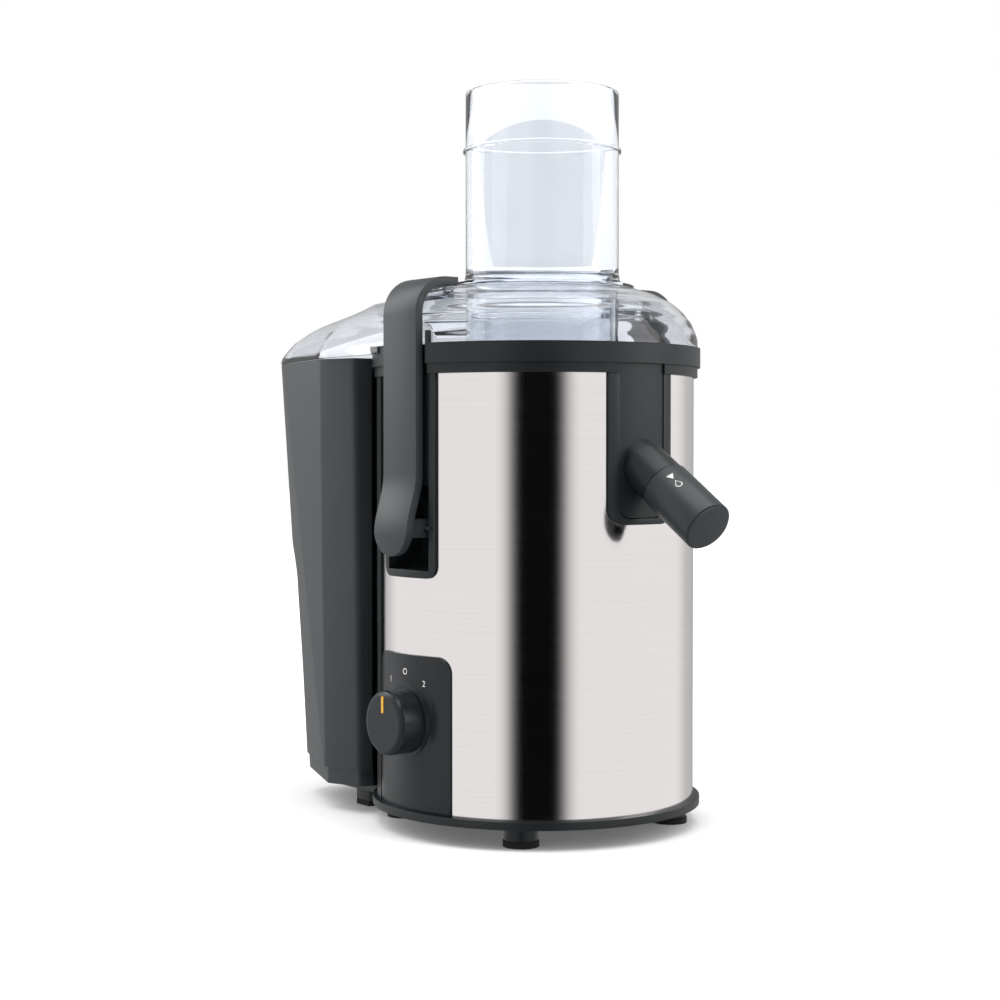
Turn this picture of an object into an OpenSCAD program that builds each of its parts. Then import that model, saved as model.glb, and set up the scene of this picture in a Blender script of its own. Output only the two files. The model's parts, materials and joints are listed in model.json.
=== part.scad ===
// Centrifugal juicer: steel-wrapped motor body, spinning filter basket, clear lid with a wide
// feed tube, side pulp container, swivelling drip-stop nozzle and two locking arms.
// Millimetres, +Z up. The origin is on the motor axis, level with the soles of the feet.
// +X is the juice spout, -X the pulp container, -Y the control side, +Y the far side.

/* [Body] */
// Outside radius of the steel wrap
body_r = 82; // [78:0.5:100]
// Height of the steel wrap's top edge above the table
body_h = 231; // [225:1:280]
// Half of the arc that the steel wrap covers, in degrees from the spout
wrap_half_angle = 112; // [108:1:125]
// Thickness of the steel wrap
wrap_t = 0.7; // [0.5:0.1:1.2]
// Wall of the plastic motor housing
housing_wall = 2.5; // [2:0.1:4]
// Height of the trim band above the steel wrap
trim_h = 5; // [3:0.5:10]
// How far the trim band stands out past the steel wrap
trim_proud = 2; // [1:0.5:3]
// How far the base ring and bowl collar stand out past the steel wrap
collar_proud = 3.4; // [2.5:0.1:4]

/* [Base and feet] */
// Height of the base plate's underside above the table
base_z = 10.3; // [8:0.1:16]
// Thickness of the base plate
base_t = 4; // [3:0.5:6]
// Distance of each round foot from the motor axis along X and along Y
foot_place = 49.5; // [42:0.5:56]
// Radius of a round rubber foot
foot_r = 9; // [7:0.5:12]
// Thickness of a rubber foot pad
foot_pad = 3; // [2:0.5:5]
// Width of a leg under the rear shelf
leg_w = 12; // [8:1:16]
// Reach of the rear shelf behind the steel wrap
shelf_depth = 15; // [12:1:28]
// Half width of the rear shelf
shelf_half = 56; // [50:1:64]

/* [Motor] */
// Radius of the motor shaft
shaft_r = 4; // [3:0.5:5]
// Outside radius of a ball bearing
bearing_r = 11; // [9.5:0.5:13]
// Height of a ball bearing
bearing_h = 8; // [6:0.5:10]
// Height of the lower bracket's plate above the table
bracket_z = 34; // [30:1:40]
// Height of the laminated stack
stack_h = 55; // [40:1:60]
// Radius of the armature
armature_r = 24; // [20:0.5:27]
// Air gap between armature and stator
air_gap = 0.6; // [0.4:0.1:1.2]
// Radius of the commutator
commutator_r = 13; // [10:0.5:15]
// Radius of the cooling fan
fan_r = 38; // [30:1:40]
// Number of fan blades
fan_blades = 9; // [5:1:13]

/* [Bowl and basket] */
// Height of the bowl collar
collar_h = 10; // [8:0.5:14]
// Wall of the juice bowl
bowl_wall = 2.5; // [2:0.1:3.5]
// Depth of the bowl's floor below the top of the steel wrap
bowl_drop = 49; // [44:0.5:52]
// Gap between the bowl and the motor housing round it
bowl_gap = 2.5; // [2.4:0.1:6]
// Gap between the basket's rim and the bowl
basket_gap = 1.5; // [1:0.1:4]
// How far the grater disc reaches past the feed tube
grater_margin = 1.3; // [1:0.1:4]
// Thickness of the filter mesh
mesh_t = 0.8; // [0.5:0.1:1.2]
// Number of rows of grater teeth
tooth_rows = 4; // [2:1:6]

/* [Spout and nozzle] */
// Height of the spout bore's lowest point above the bowl's underside
spout_lift = 0.8; // [0.6:0.1:3]
// Slope of the spout below level, in degrees
spout_slope = 33; // [20:1:40]
// Length of the spout from the body's face to the nozzle's end
spout_len = 53.5; // [44:0.5:60]
// Outside radius of the fixed spout tube
spout_r = 10.4; // [8:0.1:12]
// Wall of the fixed spout tube
spout_wall = 2; // [1.5:0.1:2.5]
// Length of the swivelling nozzle
nozzle_len = 35; // [30:0.5:40]
// Wall of the swivelling nozzle
nozzle_wall = 2.2; // [1.5:0.1:3]
// Half width of the bowl's skirt panel behind the spout
skirt_half = 14.2; // [13:0.1:17]
// Width of the frame round the skirt panel
spout_edge = 5.9; // [4:0.1:8]
// Depth of the skirt panel below the spout's root
skirt_drop = 26; // [22:1:32]

/* [Lid and feed tube] */
// Outside radius of the feed tube
tube_r = 39.7; // [33:0.1:41]
// Wall of the feed tube
tube_wall = 2.4; // [2:0.1:3.5]
// Offset of the feed tube from the motor axis towards the spout
tube_x = 5; // [0:0.5:6]
// Height of the feed tube's rim above the lid's crown
tube_rise = 99.5; // [60:0.5:140]
// Distance of the pusher's stop ring below the rim
tube_ring_drop = 29; // [15:1:45]
// Wall of the lid
lid_wall = 2.2; // [1.8:0.1:3]
// Height of the lid's crown above its seat
lid_rise = 32.5; // [32:0.5:45]

/* [Locking arms] */
// Width of a locking arm
arm_w = 28; // [22:0.5:34]
// Thickness of a locking arm
arm_t = 4.2; // [3.5:0.1:5]
// Depth of an arm's pivot below the top of the steel wrap
pivot_drop = 76; // [73:1:79]
// Radius of an arm's hinge pin
pin_r = 1.5; // [1.5:0.1:2.2]
// How far an arm's tongue flares out
arm_flare = 6; // [3:0.5:8]
// Width of the frame beside an arm's recess
recess_edge = 2.6; // [2:0.1:6]
// Reach of an arm's hook over the lid, inwards from the steel wrap
hook_len = 21; // [19:0.5:24]

/* [Control panel and knob] */
// Half width of the control panel
panel_half = 29.4; // [25:1:38]
// Height of the control panel's top edge above the table
panel_top = 92; // [86:1:110]
// Height of the knob's axis above the table
knob_z = 58.7; // [50:0.5:62]
// Radius of the knob
knob_r = 16; // [12:0.5:18]
// Depth of the knob
knob_depth = 13.6; // [10:0.2:16]
// Radius of the switch spindle
spindle_r = 3; // [2.5:0.1:4]

/* [Pulp container] */
// Depth of the pulp container behind the steel wrap
bin_depth = 85; // [75:1:110]
// Half width of the pulp container at its rear corners' centres
bin_half = 37; // [30:1:42]
// Radius of the pulp container's rear corners
bin_corner = 28; // [22:1:34]
// Wall of the pulp container
bin_wall = 2.2; // [1.8:0.1:3]
// How much the container's rear wall leans in towards its foot
bin_lean = 12; // [6:1:20]
// Height of the container's rim below the lid's seat
bin_rim_drop = 4; // [3:0.5:8]
// Depth of the grip recess round the container's rear
grip_depth = 1.5; // [1:0.1:2]

/* [Clearances] */
// Gap between pieces that lift apart or slide
slide_gap = 0.4; // [0.3:0.05:0.8]
// Gap between fixed pieces that fit together
seat_gap = 0.1; // [0.05:0.05:0.2]
// Radial clearance of a turning fit
run_gap = 0.04; // [0.02:0.01:0.08]

/* [Hidden] */
$fn = 64;
base_top = base_z + base_t;
base_r = body_r + collar_proud;
collar_r = base_r;
trim_r = body_r + trim_proud;
wrap_in = body_r - wrap_t;
housing_r = wrap_in - 3 * seat_gap;
housing_in = housing_r - housing_wall;
cover_r = body_r + 1;
plate_in = body_r + seat_gap;
plate_r = body_r + 1.4;
panel_r = body_r + 1.1;
collar_z = body_h + trim_h;
lid_z = collar_z + collar_h;
crown_z = lid_z + lid_rise;
tube_top = crown_z + tube_rise;
far = 400;
bowl_z = body_h - bowl_drop;
pivot_z = body_h - pivot_drop;
shelf_reach = body_r + shelf_depth;
bin_reach = body_r + bin_depth;
spout_frame_half = skirt_half + slide_gap + spout_edge;

// Deck, bowl and basket levels follow the bowl's floor
deck_t = 3;
deck_z = bowl_z - 1.4 - deck_t;
deck_r = housing_in - 3 * seat_gap;
ledge_w = 2.5;
bowl_out = housing_in - bowl_gap;
bowl_in = bowl_out - bowl_wall;
basket_r = bowl_in - basket_gap;
grater_r = tube_r + tube_x + grater_margin;
chimney_r = 22;
chimney_h = 21;
basket_z = bowl_z + chimney_h + 2;
grater_z = basket_z + 3;
grater_t = 1.2;
tooth_h = 1.4;
tube_foot = grater_z + grater_t + tooth_h + 2.9;
rim_z = collar_z + 3;
hub_r = 18.5;
drive_r = 15;
drive_lobes = 6;
drive_z = bowl_z + 4;
drive_h = 17;

// Motor levels follow the lower bracket
bracket_t = 4;
stack_z = bracket_z + bracket_t + 32;
stack_top = stack_z + stack_h;
stator_half_x = 48;
stator_half_y = 42;
pole_half = 18;
coil_w = 10;
coil_y = armature_r + air_gap + 5.4;
fan_z = stack_top + 17;
fan_h = 12;
top_bracket_z = fan_z + fan_h + 4;
bracket_r = 50;
lower_bracket_r = 58;
board_y = lower_bracket_r + 1.5;
boss_r = bearing_r + 3;
bolt_x = 45;
bolt_r = 2;
mount_place = 36;
mount_h = 8;
mount_r = 8;
boss_angles = [30, 150, 210, 330];
boss_ring = housing_in - 5.5;

// Locking arm, as distances out from the motor axis
pivot_d = body_r - 2;
arm_in = body_r + 0.8;
arm_out = arm_in + arm_t;
hook_arc = 14.3;
hook_drop = 3.3;
hook_z = crown_z - hook_drop - hook_arc;
hook_reach = body_r - hook_len;
flare_top = pivot_z + 27;
flare_low = pivot_z - 4;
tongue_r = arm_w / 2;
lug_r = 4.8;
channel_half = arm_w / 2 + 3;
lug_half = channel_half - 4;
recess_wall = 1.6;
swing_r = norm([tongue_r, arm_out + arm_flare - pivot_d]) + 2;
pocket_in = pivot_d - swing_r - recess_wall - 0.5;
notch_in = body_r - 0.6;
rib_half = channel_half + 2.2;
lid_notch = body_r - 0.9;
recess_half = channel_half + recess_wall + recess_edge;
window_half = channel_half + recess_wall + 0.3;
recess_low = pivot_z - swing_r - recess_wall - 2;

// Spout
spout_bore = spout_r - spout_wall;
spout_root = body_r + 2;
spout_z = bowl_z + spout_lift + spout_bore / cos(spout_slope)
    - (spout_root - bowl_in) * tan(spout_slope);
spout_back = (spout_root - bowl_in) / cos(spout_slope) + 4;
skirt_low = spout_z - skirt_drop;
spout_frame_low = skirt_low - 3;
nozzle_start = spout_len - nozzle_len;
nozzle_bore = spout_r + run_gap;
nozzle_r = nozzle_bore + nozzle_wall;
spout_collar_r = nozzle_r - 0.6;
outlet_len = 9;
nozzle_end = 3;

// Cord gland
cord_r = 3.8;
gland_r = 6.5;
gland_angle = 118;
gland_z = 34;

// Switch behind the knob
switch_half = 11;
switch_back = housing_in - 22.5;
neck_r = 6.5;
neck_hole_r = 7.2;
neck_top = body_r + 1.4;
spindle_start = housing_in - 15.5;
knob_face = body_r + 1.8;
pointer_len = 8.2;

// Screws of the base
screw_r = 1.6;
screw_head_r = 3.5;
screw_len = 16;
plug_r = 3;

// Cooling slots
vent_count = 5;
vent_w = 2.4;
vent_z = 60;
vent_h = 44;

// Pulp container
bin_gap = 2.1;
bin_z = base_top + slide_gap;
bin_top = lid_z - bin_rim_drop;
bin_step = 9;
bin_front = [for (p = [[-5, 9], [13, 14.5], [15.5, 27]]) [p[0] - body_r, body_r - p[1]]];
bin_small = 5;
bin_taper_y = 3;
grip_z = 165;
grip_arch = 60;
grip_reach = 33;

// Colours
dark_plastic = [0.17, 0.19, 0.2];
mid_plastic = [0.31, 0.33, 0.34];
bin_plastic = [0.28, 0.3, 0.31];
steel = [0.86, 0.85, 0.84];
clear_plastic = [0.79, 0.81, 0.84, 0.4];
black_plastic = [0.1, 0.1, 0.11];
copper = [0.72, 0.43, 0.25];
iron = [0.45, 0.45, 0.47];
rubber = [0.12, 0.12, 0.12];
gold = [0.85, 0.6, 0.2];

// ---- shared shapes ----

// A ring about the motor axis
module ring(r_out, r_in, z, h) {
    translate([0, 0, z]) difference() {
        cylinder(r = r_out, h = h, $fn = 180);
        translate([0, 0, -1]) cylinder(r = r_in, h = h + 2, $fn = 180);
    }
}

// A box that stands out from the control side: half width along X, d outwards, z up
module front_box(half, d0, d1, z0, z1) {
    translate([-half, -d1, z0]) cube([2 * half, d1 - d0, z1 - z0]);
}

// A flat outline seen from the control side (x, z), as deep as the body
module front_prism(depth = far) {
    rotate([90, 0, 0]) linear_extrude(height = depth) children();
}

// A rod along X that goes through a point on the control side
module cross_rod(r, half, d, z) {
    translate([-half, -d, z]) rotate([0, 90, 0]) cylinder(r = r, h = 2 * half);
}

// The same thing on both the control side and the far side
module both_sides() {
    children();
    mirror([0, 1, 0]) children();
}

// A panel outline with two rounded lower corners
module tab_outline(half, low, top, r) {
    translate([-half, low + r]) square([2 * half, top - low - r]);
    translate([-half + r, low]) square([2 * (half - r), r + 1]);
    for (side = [-1, 1]) translate([side * (half - r), low + r]) circle(r = r);
}

// The spout's own frame: the origin at the body's face, +Z down the slope, +X on its underside
module along_spout() {
    translate([spout_root, 0, spout_z]) rotate([0, 90 + spout_slope, 0]) children();
}

// Places a piece at each of the four corners of a square
module at_corners(d) {
    for (x = [-d, d], y = [-d, d]) translate([x, y, 0]) children();
}

// Places a piece at each housing screw
module at_bosses() {
    for (a = boss_angles) rotate([0, 0, a]) translate([boss_ring, 0, 0]) children();
}

// Places a piece at each leg under the rear shelf
module at_legs() {
    both_sides() translate([-shelf_reach + 3, shelf_half - leg_w - 6, 0]) children();
}

// Turns a piece from +Z to point out of the control side at the knob's height
module on_knob_axis(d) {
    translate([0, -d, knob_z]) rotate([90, 0, 0]) children();
}

// Turns a piece from +Z to point out through the cord's hole
module on_gland_axis(d) {
    rotate([0, 0, gland_angle]) translate([d, 0, gland_z]) rotate([0, 90, 0]) children();
}

// Openings in the body's walls for both arm recesses
module arm_windows() {
    both_sides() front_box(window_half, pocket_in, far / 2, recess_low + 2, body_h + 1);
}

// Opening in the body's walls for the bowl's skirt panel
module skirt_window() {
    half = skirt_half + 2 * slide_gap;
    translate([bowl_in, -half, skirt_low - 0.5]) cube([far / 2, 2 * half, body_h + 1.5 - skirt_low]);
}

// Cooling slots on both sides of the rear, cut straight through its walls
module vent_slots() {
    for (side = [-1, 1], i = [0 : vent_count - 1]) {
        rotate([0, 0, 180 + side * (44 + 4 * i)])
            translate([housing_in - 4, -vent_w / 2, vent_z]) cube([16, vent_w, vent_h]);
    }
}

// ---- base and body ----

module base() color(dark_plastic) {
    difference() {
        union() {
            translate([0, 0, base_z]) cylinder(r = base_r, h = base_t, $fn = 180);
            translate([-shelf_reach, -shelf_half, base_z])
                cube([shelf_reach, 2 * shelf_half, base_t]);
            at_corners(foot_place) translate([0, 0, foot_pad])
                cylinder(r = foot_r - 0.5, h = base_z - foot_pad + 1);
            at_legs() translate([0, 0, foot_pad]) cube([leg_w, leg_w, base_z - foot_pad + 1]);
            at_corners(mount_place) translate([0, 0, base_top - 1])
                cylinder(r = mount_r - 1, h = bracket_z - mount_h - base_top + 1);
        }
        at_corners(foot_place) translate([0, 0, foot_pad - 1])
            cylinder(r = plug_r + seat_gap, h = 5.2);
        at_corners(mount_place) translate([0, 0, base_top]) cylinder(r = bolt_r, h = 40);
        at_bosses() {
            translate([0, 0, base_z - 1]) cylinder(r = screw_head_r + seat_gap, h = 3.6);
            translate([0, 0, base_z]) cylinder(r = screw_r + seat_gap, h = 20);
        }
        for (i = [-3 : 3])
            translate([i * 7 - 1.5, -24, base_z - 1]) cube([3, 48, base_t + 2]);
    }
}

module rubber_feet() color(rubber) {
    at_corners(foot_place) {
        cylinder(r = foot_r, h = foot_pad);
        cylinder(r = plug_r, h = foot_pad + 4);
    }
}

module leg_pads() color(rubber) {
    at_legs() cube([leg_w, leg_w, foot_pad]);
}

module base_screws() color(steel) {
    at_bosses() {
        translate([0, 0, base_z + 0.2]) cylinder(r = screw_head_r, h = 2.3);
        translate([0, 0, base_z + 2]) cylinder(r = screw_r, h = screw_len);
    }
}

module motor_housing() color(black_plastic) {
    difference() {
        union() {
            rotate_extrude($fn = 180) polygon([
                [housing_in, base_top + seat_gap], [housing_r, base_top + seat_gap],
                [housing_r, body_h], [housing_in, body_h], [housing_in, deck_z - seat_gap],
                [housing_in - ledge_w, deck_z - seat_gap], [housing_in - ledge_w, deck_z - 3],
                [housing_in, deck_z - 3]
            ]);
            at_bosses() translate([-6, -5, base_top + 1]) cube([12.5, 10, 19]);
        }
        at_bosses() cylinder(r = screw_r + seat_gap, h = base_top + 15);
        arm_windows();
        skirt_window();
        on_knob_axis(0) cylinder(r = neck_hole_r, h = far / 2);
        on_gland_axis(housing_in - 15) cylinder(r = gland_r + seat_gap, h = 40);
        vent_slots();
    }
}

module steel_wrap() color(steel) {
    difference() {
        rotate([0, 0, -wrap_half_angle])
            rotate_extrude(angle = 2 * wrap_half_angle, $fn = 180)
                translate([wrap_in, base_top + seat_gap])
                    square([wrap_t, body_h - base_top - seat_gap]);
        arm_windows();
        skirt_window();
        on_knob_axis(0) cylinder(r = neck_hole_r, h = far / 2);
    }
}

module rear_cover() color(dark_plastic) {
    difference() {
        rotate([0, 0, wrap_half_angle + 0.3])
            rotate_extrude(angle = 360 - 2 * (wrap_half_angle + 0.3), $fn = 180)
                translate([housing_r + seat_gap, base_top + seat_gap])
                    square([cover_r - housing_r - seat_gap, body_h - base_top - seat_gap]);
        on_gland_axis(housing_in - 15) cylinder(r = gland_r + seat_gap, h = 40);
        vent_slots();
    }
}

module cord_gland() color(rubber) {
    wall = cover_r - housing_in;
    on_gland_axis(housing_in - 3) difference() {
        union() {
            cylinder(r = gland_r, h = wall + 4.5);
            cylinder(r = gland_r + 2.5, h = 2.6);
            translate([0, 0, wall + 3.2]) cylinder(r = gland_r + 1.5, h = 3);
        }
        translate([0, 0, -1]) cylinder(r = cord_r, h = wall + 11);
    }
}

module top_trim() color(dark_plastic) {
    difference() {
        ring(trim_r, housing_in + 0.5, body_h, trim_h);
        both_sides() front_box(channel_half - 0.4, 60, far / 2, body_h - 1, collar_z + 1);
        translate([bowl_in, -skirt_half - slide_gap, body_h - 1])
            cube([far / 2, 2 * (skirt_half + slide_gap), trim_h + 2]);
    }
}

module spout_frame() color(dark_plastic) {
    intersection() {
        ring(plate_r, plate_in, spout_frame_low - 1, body_h - spout_frame_low + 1);
        rotate([0, 0, 90]) front_prism() difference() {
            tab_outline(spout_frame_half, spout_frame_low, body_h, 8);
            tab_outline(skirt_half + slide_gap, skirt_low, body_h + 10, 6);
        }
    }
}

// Frame, channel and swing pocket that one locking arm lies in
module arm_recess() {
    difference() {
        union() {
            intersection() {
                ring(plate_r, plate_in, recess_low, body_h - recess_low);
                front_prism() tab_outline(recess_half, recess_low, body_h, 6);
            }
            intersection() {
                cylinder(r = plate_r, h = far, $fn = 180);
                front_box(channel_half + recess_wall, pocket_in, far / 2, pivot_z - swing_r - recess_wall,
                    pivot_z + swing_r + recess_wall);
            }
            intersection() {
                ring(plate_r, housing_in + 0.2, pivot_z + swing_r, body_h - pivot_z - swing_r);
                front_box(channel_half + recess_wall, 60, far / 2, pivot_z + swing_r, body_h);
            }
        }
        cross_rod(swing_r, channel_half, pivot_d, pivot_z);
        difference() {
            front_box(channel_half, 60, far / 2, pivot_z, body_h + 1);
            cylinder(r = body_r - 0.8, h = far, $fn = 180);
        }
        cross_rod(pin_r, channel_half + recess_wall + 1, pivot_d, pivot_z);
    }
}

module front_arm_recess() color(dark_plastic) arm_recess();
module back_arm_recess() color(dark_plastic) mirror([0, 1, 0]) arm_recess();

module control_panel() color(black_plastic) {
    difference() {
        union() {
            intersection() {
                ring(panel_r, plate_in, base_top + seat_gap, panel_top - base_top);
                front_prism() mirror([0, 1]) translate([0, -panel_top - base_top])
                    tab_outline(panel_half, base_top, panel_top - seat_gap, 8);
            }
            difference() {
                on_knob_axis(0) cylinder(r = knob_r + 2, h = neck_top);
                cylinder(r = plate_in, h = far, $fn = 180);
                translate([0, 200, 0]) cube([far, far, far], center = true);
            }
        }
        on_knob_axis(0) cylinder(r = neck_hole_r, h = far / 2);
    }
}

// ---- switches and electronics ----

module speed_switch() color(black_plastic) {
    difference() {
        union() {
            front_box(switch_half + 2, switch_back, housing_in - 3, knob_z - switch_half,
                knob_z + switch_half);
            on_knob_axis(housing_in - 5) cylinder(r = neck_r, h = neck_top - housing_in + 5);
        }
        on_knob_axis(spindle_start - 1) cylinder(r = spindle_r + run_gap, h = 40);
    }
}

module control_board() color([0.1, 0.35, 0.2]) {
    translate([0, board_y, 0]) {
        translate([-26, 0, 26]) cube([52, 1.6, 60]);
        translate([-14, 1, 62]) rotate([-90, 0, 0]) cylinder(r = 6.5, h = 12);
        translate([2, 1, 34]) cube([18, 11, 14]);
        translate([-20, 1, 34]) cube([14, 7, 9]);
    }
}

// Snap switch beside a locking arm's pocket
module interlock_switch() {
    translate([channel_half + recess_wall + 0.4, 8 - pivot_d, pivot_z - 5]) cube([7, 14, 12]);
    translate([channel_half + recess_wall + 2, 6.5 - pivot_d, pivot_z + 3]) cube([4, 2, 2]);
}

module front_interlock_switch() color(black_plastic) interlock_switch();
module back_interlock_switch() color(black_plastic) mirror([0, 1, 0]) interlock_switch();

// ---- motor ----

module motor_deck() color(mid_plastic) {
    difference() {
        union() {
            translate([0, 0, deck_z]) cylinder(r = deck_r, h = deck_t, $fn = 180);
            translate([0, 0, deck_z]) cylinder(r = 13, h = deck_t + 3);
        }
        translate([0, 0, deck_z - 1]) cylinder(r = 9, h = 20);
        along_spout() translate([0, 0, -spout_back]) cylinder(r = spout_r + slide_gap, h = spout_back);
        both_sides() front_box(channel_half + recess_wall + slide_gap, pocket_in - slide_gap, far / 2,
            deck_z - 1, pivot_z + swing_r + recess_wall + slide_gap);
    }
}

module shaft_seal() color(rubber) {
    translate([0, 0, deck_z]) difference() {
        cylinder(r = 9 - seat_gap / 2, h = deck_t + 2);
        translate([0, 0, -1]) cylinder(r = shaft_r + run_gap, h = 20);
    }
}

module motor_mounts() color(rubber) {
    at_corners(mount_place) translate([0, 0, bracket_z - mount_h]) difference() {
        cylinder(r = mount_r, h = mount_h);
        translate([0, 0, -1]) cylinder(r = bolt_r + seat_gap, h = mount_h + 2);
    }
}

module mount_screws() color(steel) {
    at_corners(mount_place) {
        translate([0, 0, base_top + 1])
            cylinder(r = bolt_r - seat_gap / 2, h = bracket_z + bracket_t - base_top);
        translate([0, 0, bracket_z + bracket_t]) cylinder(r = 3.6, h = 2.6);
    }
}

// Holes for the two bolts that hold the brackets and the stack together
module through_bolts(z, h) {
    for (side = [-1, 1]) translate([side * bolt_x, 0, z]) cylinder(r = bolt_r + seat_gap, h = h);
}

// The two legs that carry the stack from a bracket
module bracket_legs(z0, z1) {
    for (side = [-1, 1]) translate([side * bolt_x - 3, -8, z0]) cube([6, 16, z1 - z0]);
}

module lower_bracket() color(iron) {
    difference() {
        union() {
            translate([0, 0, bracket_z]) cylinder(r = lower_bracket_r, h = bracket_t);
            translate([0, 0, bracket_z - 6]) cylinder(r = boss_r, h = 6.5);
            bracket_legs(bracket_z + 1, stack_z);
        }
        translate([0, 0, bracket_z + bracket_t - 2 - bearing_h])
            cylinder(r = bearing_r + run_gap / 2, h = bearing_h);
        translate([0, 0, bracket_z - 20]) cylinder(r = shaft_r + 2, h = 60);
        at_corners(mount_place) translate([0, 0, bracket_z - 1]) cylinder(r = bolt_r + seat_gap, h = 10);
        through_bolts(bracket_z - 1, 80);
        for (a = [45 : 90 : 315])
            rotate([0, 0, a]) translate([26, 0, bracket_z - 1]) cylinder(r = 7, h = 10);
    }
}

module upper_bracket() color(iron) {
    difference() {
        union() {
            translate([0, 0, top_bracket_z]) cylinder(r = bracket_r, h = bracket_t);
            translate([0, 0, top_bracket_z]) cylinder(r = boss_r, h = bearing_h + 3);
            bracket_legs(stack_top, top_bracket_z + 1);
        }
        translate([0, 0, top_bracket_z + 1]) cylinder(r = bearing_r + run_gap / 2, h = bearing_h);
        translate([0, 0, top_bracket_z - 20]) cylinder(r = shaft_r + 2, h = 60);
        through_bolts(stack_top - 1, 80);
        for (a = [45 : 90 : 315])
            rotate([0, 0, a]) translate([30, 0, top_bracket_z - 1]) cylinder(r = 9, h = 10);
    }
}

module bearing(z) {
    translate([0, 0, z]) difference() {
        cylinder(r = bearing_r, h = bearing_h - seat_gap);
        translate([0, 0, -1]) cylinder(r = shaft_r + run_gap, h = bearing_h + 2);
        translate([0, 0, -0.5]) rotate_extrude() translate([shaft_r + 2.4, 0]) square([2, 1]);
        translate([0, 0, bearing_h - 0.6]) rotate_extrude() translate([shaft_r + 2.4, 0]) square([2, 1]);
    }
}

module lower_bearing() color(steel) bearing(bracket_z + bracket_t - 2 - bearing_h + seat_gap / 2);
module upper_bearing() color(steel) bearing(top_bracket_z + 1 + seat_gap / 2);

module stator() color(iron) {
    difference() {
        translate([0, 0, stack_z]) intersection() {
            cylinder(r = 54, h = stack_h, $fn = 120);
            translate([-stator_half_x, -stator_half_y, 0])
                cube([2 * stator_half_x, 2 * stator_half_y, stack_h]);
        }
        translate([0, 0, stack_z - 1]) cylinder(r = armature_r + air_gap, h = stack_h + 2, $fn = 120);
        for (x = [-1, 1], y = [-1, 1])
            translate([x * (pole_half + coil_w / 2), y * coil_y, stack_z + stack_h / 2])
                cube([coil_w + 2 * seat_gap, 9 + 2 * seat_gap, stack_h + 2], center = true);
        through_bolts(stack_z - 1, stack_h + 2);
    }
}

module field_coils() color(copper) {
    for (side = [-1, 1]) translate([0, side * coil_y, stack_z + stack_h / 2]) difference() {
        cube([2 * (pole_half + coil_w), 9, stack_h + 2 * coil_w], center = true);
        cube([2 * pole_half, 20, stack_h + 2 * seat_gap], center = true);
    }
}

module brush_holders() color(black_plastic) {
    for (a = [0, 180]) rotate([0, 0, a]) difference() {
        union() {
            translate([commutator_r + 2, -5, bracket_z + 14]) cube([20, 10, 12]);
            translate([commutator_r + 10, -5, bracket_z + bracket_t]) cube([12, 10, 11]);
        }
        translate([commutator_r - 5, -3.1, bracket_z + 16.9]) cube([24, 6.2, 6.2]);
    }
}

module carbon_brushes() color([0.15, 0.15, 0.15]) {
    for (a = [0, 180]) rotate([0, 0, a])
        translate([commutator_r + 0.3, -3, bracket_z + 17]) cube([16, 6, 6]);
}

module motor_bolts() color(steel) {
    for (side = [-1, 1]) translate([side * bolt_x, 0, 0]) {
        translate([0, 0, bracket_z - 3]) cylinder(r = 3.6, h = 3);
        translate([0, 0, bracket_z - 1]) cylinder(r = bolt_r, h = top_bracket_z + bracket_t - bracket_z + 5);
        translate([0, 0, top_bracket_z + bracket_t]) cylinder(r = 3.8, h = 3, $fn = 6);
    }
}

// ---- rotor ----

module motor_shaft() color(steel) {
    translate([0, 0, bracket_z - 7]) cylinder(r = shaft_r, h = drive_z + drive_h - bracket_z + 7);
}

// Opens a press-fit hole for the shaft
module shaft_hole() {
    difference() {
        children();
        cylinder(r = shaft_r + 0.01, h = far);
    }
}

module armature() color(iron) {
    shaft_hole() difference() {
        translate([0, 0, stack_z]) cylinder(r = armature_r, h = stack_h, $fn = 120);
        for (a = [0 : 30 : 330]) rotate([0, 0, a])
            translate([armature_r - 2, -1, stack_z - 1]) cube([4, 2, stack_h + 2]);
    }
}

module armature_windings() color(copper) {
    shaft_hole() union() {
        translate([0, 0, stack_z - 8]) cylinder(r1 = 17, r2 = 21, h = 8 - seat_gap / 2);
        translate([0, 0, stack_top + seat_gap / 2]) cylinder(r1 = 21, r2 = 17, h = 8);
    }
}

module commutator() color(copper) {
    shaft_hole() difference() {
        translate([0, 0, bracket_z + 12]) cylinder(r = commutator_r, h = 14);
        for (a = [0 : 30 : 330]) rotate([0, 0, a])
            translate([commutator_r - 1, -0.4, bracket_z + 11]) cube([2, 0.8, 16]);
    }
}

module cooling_fan() color(dark_plastic) {
    shaft_hole() union() {
        translate([0, 0, fan_z]) cylinder(r = 9, h = fan_h);
        translate([0, 0, fan_z]) cylinder(r = fan_r, h = 2);
        for (i = [0 : fan_blades - 1]) rotate([0, 0, i * 360 / fan_blades])
            translate([7, -1, fan_z + 1]) cube([fan_r - 8, 2, fan_h - 2]);
    }
}

// The six-lobed driving shape, with room for a fit
module drive_shape(r, h) {
    cylinder(r = r - 2.5, h = h);
    for (i = [0 : drive_lobes - 1]) rotate([0, 0, i * 360 / drive_lobes])
        translate([0, -2.5 + (drive_r - r) / 2, 0]) cube([r, 5 - (drive_r - r), h]);
}

module drive_coupling() color(black_plastic) {
    shaft_hole() translate([0, 0, drive_z]) drive_shape(drive_r, drive_h);
}

module basket_base() color(dark_plastic) {
    difference() {
        union() {
            translate([0, 0, basket_z]) cylinder(r = grater_r + 3.5, h = 3, $fn = 120);
            translate([0, 0, drive_z + 2]) cylinder(r = hub_r, h = basket_z - drive_z - 1);
        }
        translate([0, 0, drive_z + 1]) drive_shape(drive_r + slide_gap, drive_h);
    }
}

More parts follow.
